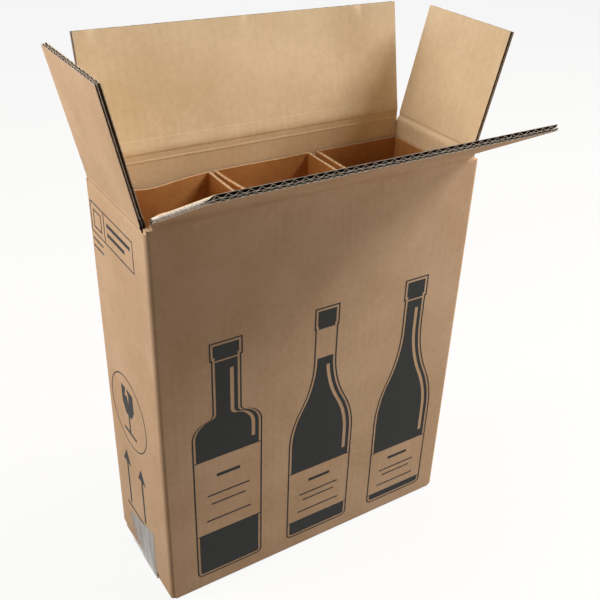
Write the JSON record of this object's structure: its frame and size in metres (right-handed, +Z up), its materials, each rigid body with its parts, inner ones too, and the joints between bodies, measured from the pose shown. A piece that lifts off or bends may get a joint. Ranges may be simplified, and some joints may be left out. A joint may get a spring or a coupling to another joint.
{
  "type": "bottle shipping box",
  "caption": "Tall corrugated shipping carton for bottles, with four hinged top flaps and a row of separate board sleeves inside, one for each bottle.",
  "frame": {"origin": "centre of the carton's base, on the surface it stands on", "axes": "+Z up, +X along the long sides, printed long side facing -Y, printed narrow side facing -X"},
  "size_m": [0.3663, 0.2263, 0.4978],
  "materials": {
    "kraft_board": "matt kraft liner over double-wall flutes",
    "sleeve_board": "matt kraft liner, single wall",
    "clear_tape": "clear packing tape, slightly cloudy",
    "printing_ink": "matt dark printing ink"
  },
  "bodies": {
    "carton": {"carton_body": "kraft_board", "left_sleeve": "sleeve_board", "middle_sleeve": "sleeve_board", "right_sleeve": "sleeve_board", "bottom_tape": "clear_tape", "front_print": "printing_ink", "side_print": "printing_ink"},
    "front_flap": {"front_flap": "kraft_board"},
    "back_flap": {"back_flap": "kraft_board"},
    "left_flap": {"left_flap": "kraft_board"},
    "right_flap": {"right_flap": "kraft_board"}
  },
  "joints": [
    {"name": "front_flap_fold", "type": "hinge", "parent": "carton", "child": "front_flap", "pos_m": [0, -0.057, 0.39625], "axis": [-1, 0, 0], "range_deg": [-74.5, 150.5]},
    {"name": "back_flap_fold", "type": "hinge", "parent": "carton", "child": "back_flap", "pos_m": [0, 0.057, 0.4025], "axis": [1, 0, 0], "range_deg": [-124, 101]},
    {"name": "left_flap_fold", "type": "hinge", "parent": "carton", "child": "left_flap", "pos_m": [-0.1555, 0, 0.39], "axis": [0, 1, 0], "range_deg": [-122.8, 102.2]},
    {"name": "right_flap_fold", "type": "hinge", "parent": "carton", "child": "right_flap", "pos_m": [0.1555, 0, 0.39], "axis": [0, -1, 0], "range_deg": [-121, 104]}
  ]
}
